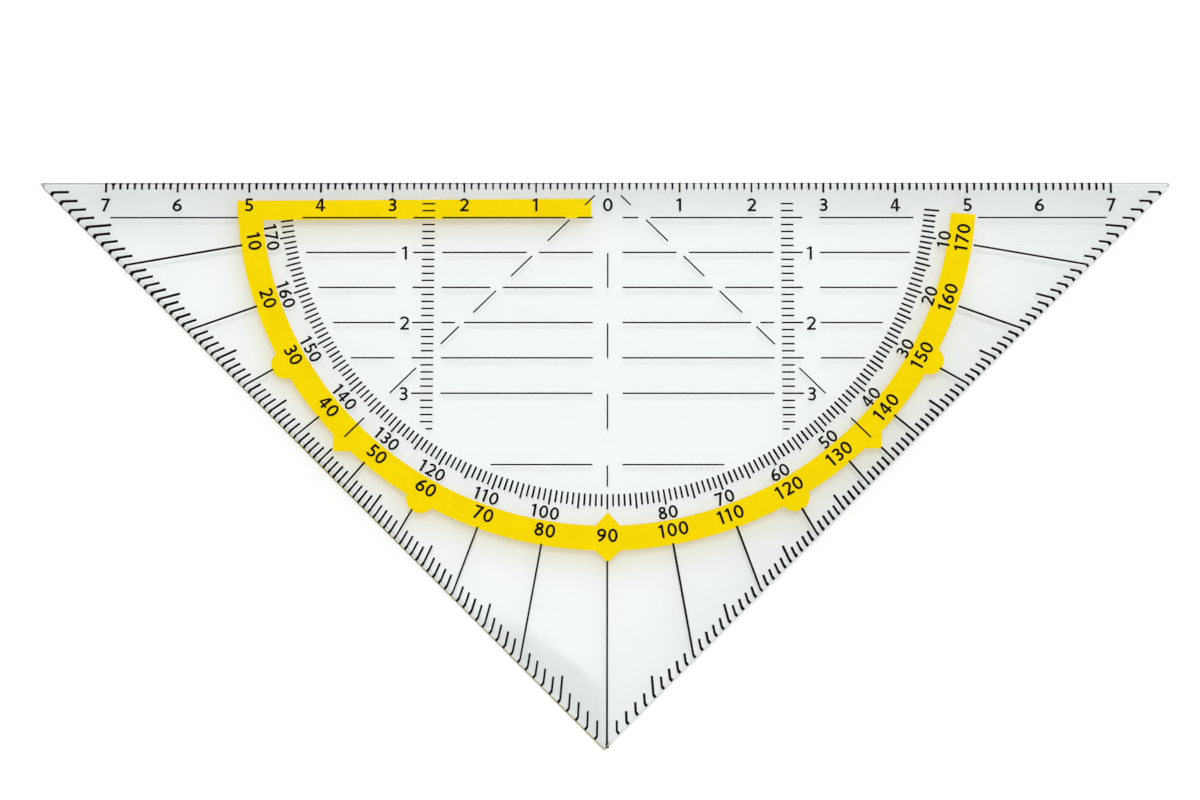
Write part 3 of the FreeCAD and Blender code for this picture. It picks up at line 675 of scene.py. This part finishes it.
# ---- operators ----
class SETSQUARE_OT_plate(bpy.types.Operator):
    """Adds the moulded clear plate with its three rounded upper edges"""
    bl_idname = "setsquare.plate"
    bl_label = "Clear plate"

    SIDE_SLOPE = 0.5           # up to this normal z, a face counts as a side face
    DARK_SLOPES = (0.6, 0.95)  # range of normal y of the painted dark line on the rounding
    TIP_TURN = 0.2             # which stops where the outline turns at the tips
    SHARP_ANGLE = math.radians(25)

    def execute(self, context):
        plate = settings().plate
        radius, thickness = plate.edge_round / MM, plate.thickness / MM
        leg, middle, top = plate_triangle()
        bm = bmesh.new()
        corners = [bm.verts.new((x, y, 0.0)) for x, y in
                   ((middle - leg, top), (middle, top - leg), (middle + leg, top))]
        bm.faces.new(corners)
        # At a tip, a radius reaches further along the sides.
        tip = math.tan(math.pi / 8)
        for corner, reach in ((corners[1], plate.apex_radius),
                              (corners[0], plate.tip_radius / tip),
                              (corners[2], plate.worn_radius / tip)):
            bmesh.ops.bevel(bm, geom=[corner], offset=reach / MM, segments=8,
                            profile=0.5, affect="VERTICES", material=-1)
        extrude_up(bm, thickness)
        steps = plate.round_steps
        for normal, distance in plate_sides():
            centre = normal * (distance - radius) + Vector((0, 0, thickness - radius))
            for step in range(steps):
                t = (step + 0.5) * math.pi / 2 / steps
                outward = normal * math.cos(t) + Vector((0.0, 0.0, math.sin(t)))
                cut = bmesh.ops.bisect_plane(
                    bm, geom=bm.verts[:] + bm.edges[:] + bm.faces[:], dist=1e-5,
                    plane_co=centre + outward * radius, plane_no=outward,
                    clear_outer=True)["geom_cut"]
                rim = [item for item in cut if isinstance(item, bmesh.types.BMEdge)]
                bmesh.ops.edgeloop_fill(bm, edges=rim)
        bmesh.ops.remove_doubles(bm, verts=bm.verts[:], dist=1e-4)
        bmesh.ops.recalc_face_normals(bm, faces=bm.faces[:])
        # Facets of the ruling edge's rounding carry a painted dark line, and the side
        # faces painted shade.
        low, high = self.DARK_SLOPES
        for face in bm.faces:
            face.smooth = True
            if low < face.normal.y < high and abs(face.normal.x) < self.TIP_TURN:
                face.material_index = 2
            elif abs(face.normal.z) < self.SIDE_SLOPE:
                face.material_index = 1
        for edge in bm.edges:
            edge.smooth = edge.calc_face_angle(0.0) < self.SHARP_ANGLE
        piece = finish_piece("clear_moulded_plate", bm,
                             clear_polystyrene(plate.tint, plate.roughness),
                             "clear_plastic", "clear_plate")
        # These two materials are painted shade, with the band's painted glow down the
        # left leg.
        for name, *tones in (
                ("clear_polystyrene_leg_face_painted_shade_and_glow", plate.left_leg, plate.right_leg),
                ("clear_polystyrene_ruling_face_painted_shade", plate.ruling_left,
                 plate.ruling_right)):
            piece.data.materials.append(moulded_edge(name, *tones, plate.leg_glow))
        weighted = piece.modifiers.new("flat_faces_keep_their_normals",
                                       "WEIGHTED_NORMAL")
        weighted.keep_sharp = True
        return {"FINISHED"}


class SETSQUARE_OT_yellow_band(bpy.types.Operator):
    """Dresses the printed yellow band: bar, arc, lobes, points and diamond"""
    bl_idname = "setsquare.yellow_band"
    bl_label = "Yellow band"

    def execute(self, context):
        ink = settings().ink
        dress_node("yellow_scale_band", yellow_ink(ink.yellow, ink.yellow_light))
        return {"FINISHED"}


class SETSQUARE_OT_ruler(bpy.types.Operator):
    """Adds the ruler's millimetre and centimetre ticks, which swell at the edge"""
    bl_idname = "setsquare.ruler"
    bl_label = "Ruler ticks"

    def execute(self, context):
        ink = settings().ink
        draw = random.Random(SEED)
        start = PLATE_HIGH[1] / MM - ink.edge_margin / MM
        for name, node, reach, full in (
                ("millimetre_ticks", "ruler_millimetre_ticks", MM_TICK, False),
                ("centimetre_ticks", "ruler_centimetre_ticks", CM_TICK, True)):
            bm = bmesh.new()
            for x in range(-70, 71):
                if (x % 10 == 0) != full:
                    continue
                # Towards the right the print is more even and the ticks are longer.
                even = 0.2 * ramp(x, 20, 40)
                swell = BLOT_SWELL if x in BLOTS else draw.uniform(*SWELL) - even
                lean = draw.uniform(-LEAN, LEAN)
                end = -reach - 0.10 * ramp(x, 20, 50)
                path = [Vector((x + lean * max(0.0, y - LEAN_FROM), y, 0.0))
                        for y in (start, *SWELL_FADES, end)]
                width = (ink.tick_width / MM * boldness(x, RULER_BOLD)
                         * draw.uniform(*WIDTHS))
                stroke(bm, path, [width * swell, width * swell, width * (1 + swell) / 2,
                                  width * 1.05, width, width])
            ink_piece(name, bm, "ticks", node)
        return {"FINISHED"}


class SETSQUARE_OT_ring(bpy.types.Operator):
    """Adds the protractor's degree ticks, bolder towards the lower right"""
    bl_idname = "setsquare.ring"
    bl_label = "Degree ring"

    def execute(self, context):
        ink = settings().ink
        draw = random.Random(SEED + 2)
        for name, node, reach, full in (
                ("degree_ticks_short", "degree_ring_short_ticks", RING_TICK, False),
                ("degree_ticks_long", "degree_ring_long_ticks", LONG_RING_TICK, True)):
            bm = bmesh.new()
            for k in range(FIRST_DEGREE, LAST_DEGREE + 1):
                if (k % 5 == 0) != full:
                    continue
                width = (ink.ring_tick_width / MM * boldness(k, RING_BOLD)
                         * draw.uniform(*WIDTHS))
                stroke(bm, [polar(k, RING_RADIUS + reach * share)
                            for share in (0.0, 0.5, 1.0)], [width] * 3)
            ink_piece(name, bm, "ticks", node)
        return {"FINISHED"}


class SETSQUARE_OT_legs(bpy.types.Operator):
    """Adds the degree ticks of the legs and the rays, with their hooked ends"""
    bl_idname = "setsquare.legs"
    bl_label = "Leg ticks and rays"

    def path_to_leg(self, angle, inner, draw):
        """Points and widths from a radius out to the leg, hooked on its rounding."""
        sides = plate_sides()
        normal, distance = sides[2] if angle < 90 else sides[1]
        along = polar(angle, 1.0)
        # The left leg's strokes reach the outline; the sharper bends are bolder.
        stop = settings().ink.edge_margin / MM if angle <= 90 else RIGHT_LEG_MARGIN
        thick = 0.2 + 0.3 * ramp(abs(90 - angle), 60, 80)
        straight = (distance - HOOK_DEPTH) / along.dot(normal)
        points = [polar(angle, radius) for radius in
                  (inner, (inner + straight) / 2, straight)]
        widths = [1.0, 1.0, 1.0]
        place, left = points[-1], HOOK_DEPTH - stop
        for step in range(HOOK_STEPS):
            turn = HOOK_TURN * min(1.0, (step + 1) / 3)
            heading = (along * (1 - turn) + normal * turn).normalized()
            place = place + heading * (left / HOOK_STEPS / heading.dot(normal))
            points.append(place)
            widths.append(1.0 + thick * min(1.0, (step + 1) / 2))
        spread = draw.uniform(*LEG_WIDTHS) * boldness(angle, LEG_BOLD)
        return points, [w * spread for w in widths]

    def execute(self, context):
        ink = settings().ink
        draw = random.Random(SEED + 1)
        sides = plate_sides()
        leg_distance = (sides[1][1] + sides[2][1]) / 2
        for name, node, depth, full in (
                ("leg_ticks_short", "leg_short_ticks", LEG_TICK, False),
                ("leg_ticks_long", "leg_long_ticks", LONG_LEG_TICK, True)):
            bm = bmesh.new()
            for k in range(1, 180):
                if k % 10 == 0 or k in POINT_ANGLES or (k % 5 == 0) != full:
                    continue
                t = math.radians(k)
                inner = ((leg_distance - depth) * math.sqrt(2)
                         / (abs(math.cos(t)) + math.sin(t)))
                points, widths = self.path_to_leg(k, inner, draw)
                stroke(bm, points, [w * ink.leg_tick_width / MM for w in widths])
            ink_piece(name, bm, "ticks", node)
        bm = bmesh.new()
        for k in sorted(set(NUMBERED) | set(POINT_ANGLES)):
            out = polar(k, 1.0)
            inner = (BAND_RADIUS - RAY_OVERLAP + YELLOW_SHIFT[0] * out.x
                     + YELLOW_SHIFT[1] * out.y)
            if k in LOBE_ANGLES:
                inner += LOBE_REACH
            elif k in POINT_ANGLES:
                inner += POINT_REACH
            elif k in LATE_RAYS:
                inner += LATE_START
            if k == 90:
                # This one runs straight into the corner, where its ink has pooled.
                inner += DIAMOND_REACH
                low = PLATE_LOW[1] / MM + APEX_MARGIN
                path = [Vector((0.0, y, 0.0)) for y in
                        (-inner, (low - inner) / 2, low + POOL_LENGTH, low)]
                stroke(bm, path, [ink.ray_width / MM * w for w in (1, 1, 1.1, 2.0)])
                continue
            points, widths = self.path_to_leg(k, inner, draw)
            stroke(bm, points, [w * ink.ray_width / MM for w in widths])
        ink_piece("rays_to_the_legs", bm, "lines", "angle_rays")
        return {"FINISHED"}


class SETSQUARE_OT_numerals(bpy.types.Operator):
    """Adds the four rows of numbers as smooth single solids"""
    bl_idname = "setsquare.numerals"
    bl_label = "Numbers"

    def execute(self, context):
        sizes = settings().numerals
        middle = RULER_NUMBERS_TOP - sizes.ruler_height / MM / 2
        number_row("ruler_numbers", "ruler_numerals", "ruler", sizes.single_wide,
                   [(str(abs(cm)), Vector((10.0 * cm, middle, 0.0)), 0, 0.0)
                    for cm in range(-7, 8)])
        number_row("inner_degree_numbers", "degree_ring_numerals", "degree",
                   sizes.degree_wide,
                   [(str(180 - k), polar(k, INNER_NUMBERS), k - 90, along)
                    for k, along in zip(NUMBERED, DEGREE_NUMBER_SHIFT) if k != 90])
        number_row("outer_degree_numbers", "band_numerals", "band", sizes.degree_wide,
                   [(str(k), polar(k, OUTER_NUMBERS), k - 90, along)
                    for k, along in zip(NUMBERED, BAND_NUMBER_SHIFT)])
        number_row("depth_numbers", "depth_numerals", "depth", sizes.single_wide,
                   [(str(cm), Vector((side * DEPTH_NUMBERS,
                                      -10.0 * cm - DEPTH_NUMBERS_DROP, 0.0)), 0, 0.0)
                    for cm in (1, 2, 3) for side in (-1, 1)])
        return {"FINISHED"}


class SETSQUARE_OT_lines(bpy.types.Operator):
    """Dresses the straight printed strokes that stay as they were made"""
    bl_idname = "setsquare.lines"
    bl_label = "Printed lines"

    def execute(self, context):
        for name in ("half_right_angle_marks", "parallel_lines", "diagonal_lines",
                     "centre_line"):
            dress_node(name, black_ink("lines"))
        for name in ("depth_scale_left", "depth_scale_right"):
            dress_node(name, black_ink("ticks"))
        return {"FINISHED"}


class SETSQUARE_OT_stage(bpy.types.Operator):
    """Adds the white card, the soft studio light and the camera"""
    bl_idname = "setsquare.stage"
    bl_label = "Stage"

    CARD_HALF = 1.5    # metres
    # The studio is laid out on a flat ceiling one unit up: x across, y away from the
    # camera.  Straight sides are (across, away, limit, softness); a point lies inside
    # where across * x + away * y is below the limit.
    RIGHT_WALL = ((-1.0, 0.0, -0.45, 0.35),)
    FRONT_WALL = ((0.0, 1.0, -0.30, 0.30),)
    BACK_WALL = ((0.0, -1.0, -1.085, 0.465),)
    PANEL_SIDE = ((-1.0, 1.0, 0.142, 0.022),)
    LOW_FLAG = ((0.0, 1.0, 0.1205, 0.0040),)
    CORNER_FLAG = ((1.0, 0.0, -0.0066, 0.0006), (0.80, 1.0, 0.1251, 0.0012),
                   (0.28, 1.0, 0.1396, 0.0030))
    # Soft rectangles: middle, half size, power that rounds the corners, softness.
    CEILING = ((0.0, 0.08), (0.40, 0.36), 2.0, 0.3)
    PANEL = ((0.0, 0.14), (0.30, 0.132), 3.0, 0.27)

    def execute(self, context):
        stage = settings().stage
        bm = bmesh.new()
        bmesh.ops.create_grid(bm, x_segments=8, y_segments=8, size=self.CARD_HALF)
        bmesh.ops.translate(bm, verts=bm.verts[:], vec=(0.0, 0.0, -stage.floor_gap))
        mesh = bpy.data.meshes.new("floor_card")
        bm.to_mesh(mesh)
        bm.free()
        floor = bpy.data.objects.new("floor_card", mesh)
        context.collection.objects.link(floor)
        mesh.materials.append(white_card(stage.floor))

        key_data = bpy.data.lights.new("key_light", "SUN")
        key_data.energy = stage.key_strength
        key_data.angle = stage.key_softness
        key = bpy.data.objects.new("key_light", key_data)
        key.rotation_euler = (-stage.key_tilt, stage.key_lean, 0.0)
        key.visible_glossy = key.visible_transmission = False
        context.collection.objects.link(key)

        self.light_studio(context, stage)

        camera_data = bpy.data.cameras.new("camera")
        camera_data.sensor_width = 36.0
        camera_data.lens = stage.lens
        camera_data.clip_start = 0.01
        camera_data.clip_end = 20.0
        camera = bpy.data.objects.new("camera", camera_data)
        camera.location = CAMERA_PLACE * MM
        camera.rotation_euler = CAMERA_TURN
        context.collection.objects.link(camera)
        context.scene.camera = camera
        context.scene.view_settings.view_transform = "Standard"
        return {"FINISHED"}

    def rectangle(self, tree, flat, centre, size, power, soft):
        """1 inside a soft rectangle on the ceiling, with rounded corners."""
        parts = []
        for share, middle, half in zip(flat, centre, size):
            for operation, value in (("SUBTRACT", middle), ("DIVIDE", half),
                                     ("ABSOLUTE", 0.0), ("POWER", power)):
                share = add_node(tree, "ShaderNodeMath", {0: share, 1: value},
                                 operation=operation).outputs[0]
            parts.append(share)
        total = add_node(tree, "ShaderNodeMath", {0: parts[0], 1: parts[1]},
                         operation="ADD")
        return add_node(tree, "ShaderNodeMapRange",
                        {"Value": total.outputs[0], "From Min": 1.0 - soft,
                         "From Max": 1.0 + soft, "To Min": 1.0, "To Max": 0.0},
                        interpolation_type="SMOOTHSTEP").outputs[0]

    def beyond_lines(self, tree, flat, *lines):
        """1 where across * x + away * y is below the limit of each straight line."""
        point = add_node(tree, "ShaderNodeCombineXYZ", {0: flat[0], 1: flat[1]})
        share = 1.0
        for across, away, limit, soft in lines:
            total = add_node(tree, "ShaderNodeVectorMath",
                             {0: point.outputs[0], 1: (across, away, 0.0)},
                             operation="DOT_PRODUCT")
            share = add_node(tree, "ShaderNodeMapRange",
                             {"Value": total.outputs["Value"],
                              "From Min": limit - soft, "From Max": limit + soft,
                              "To Min": share, "To Max": 0.0},
                             interpolation_type="SMOOTHSTEP").outputs[0]
        return share

    def light_studio(self, context, stage):
        """White studio whose ceiling is dim around the camera but for a soft panel."""
        world = bpy.data.worlds.new("white_studio")
        context.scene.world = world
        world.use_nodes = True
        tree = world.node_tree
        tree.nodes.clear()
        output = add_node(tree, "ShaderNodeOutputWorld")
        place = add_node(tree, "ShaderNodeTexCoord").outputs["Generated"]
        axes = add_node(tree, "ShaderNodeSeparateXYZ", {0: place})
        height = add_node(tree, "ShaderNodeMath", {0: axes.outputs[2], 1: 0.001},
                          operation="MAXIMUM").outputs[0]
        flat = [add_node(tree, "ShaderNodeMath", {0: axes.outputs[i], 1: height},
                         operation="DIVIDE").outputs[0] for i in (0, 1)]

        by_right_leg = self.beyond_lines(tree, flat, *self.PANEL_SIDE)
        panel = add_node(tree, "ShaderNodeMapRange",
                         {"Value": by_right_leg, "To Min": stage.panel,
                          "To Max": stage.panel_side}).outputs[0]
        # Walls, ceiling, panel and two dark flags, each over those before.
        straight, rounded = self.beyond_lines, self.rectangle
        layers = ((straight, self.RIGHT_WALL, stage.right_wall),
                  (straight, self.FRONT_WALL, stage.front_wall),
                  (straight, self.BACK_WALL, stage.back_wall),
                  (rounded, self.CEILING, stage.ceiling),
                  (rounded, self.PANEL, panel),
                  (straight, self.LOW_FLAG, 0.5 * stage.panel),
                  (straight, self.CORNER_FLAG, stage.ceiling))
        level = stage.left_wall
        for shape, limits, brightness in layers:
            level = add_node(tree, "ShaderNodeMapRange",
                             {"Value": shape(tree, flat, *limits), "To Min": level,
                              "To Max": brightness}).outputs[0]
        # White where the camera sees past the card.
        path = add_node(tree, "ShaderNodeLightPath")
        level = add_node(tree, "ShaderNodeMapRange",
                         {"Value": path.outputs["Is Camera Ray"], "To Min": level,
                          "To Max": 1.0}).outputs[0]
        background = add_node(tree, "ShaderNodeBackground",
                              {"Color": (1.0, 1.0, 1.0, 1.0), "Strength": level})
        tree.links.new(background.outputs[0], output.inputs["Surface"])


class SETSQUARE_PT_panel(bpy.types.Panel):
    """Lists the steps and settings of the set square"""
    bl_label = "Set square"
    bl_idname = "SETSQUARE_PT_panel"
    bl_space_type = "VIEW_3D"
    bl_region_type = "UI"
    bl_category = "Set square"

    def draw(self, context):
        for group_name in ("plate", "ink", "numerals", "stage"):
            box = self.layout.box()
            box.label(text=group_name.capitalize())
            group = getattr(context.scene.set_square, group_name)
            for prop in group.bl_rna.properties:
                if prop.identifier not in ("rna_type", "name"):
                    box.prop(group, prop.identifier)
        for step in STEPS:
            self.layout.operator(step.bl_idname)


STEPS = (SETSQUARE_OT_plate, SETSQUARE_OT_yellow_band, SETSQUARE_OT_ruler,
         SETSQUARE_OT_ring, SETSQUARE_OT_legs, SETSQUARE_OT_numerals,
         SETSQUARE_OT_lines, SETSQUARE_OT_stage)
CLASSES = (PlateSettings, InkSettings, NumeralSettings, StageSettings,
           SetSquareSettings) + STEPS + (SETSQUARE_PT_panel,)


def register():
    for item in CLASSES:
        bpy.utils.register_class(item)
    bpy.types.Scene.set_square = PointerProperty(type=SetSquareSettings)


def unregister():
    del bpy.types.Scene.set_square
    for item in reversed(CLASSES):
        bpy.utils.unregister_class(item)


def main():
    register()
    for step in STEPS:
        group, name = step.bl_idname.split(".")
        getattr(getattr(bpy.ops, group), name)()


if __name__ == "__main__":
    main()
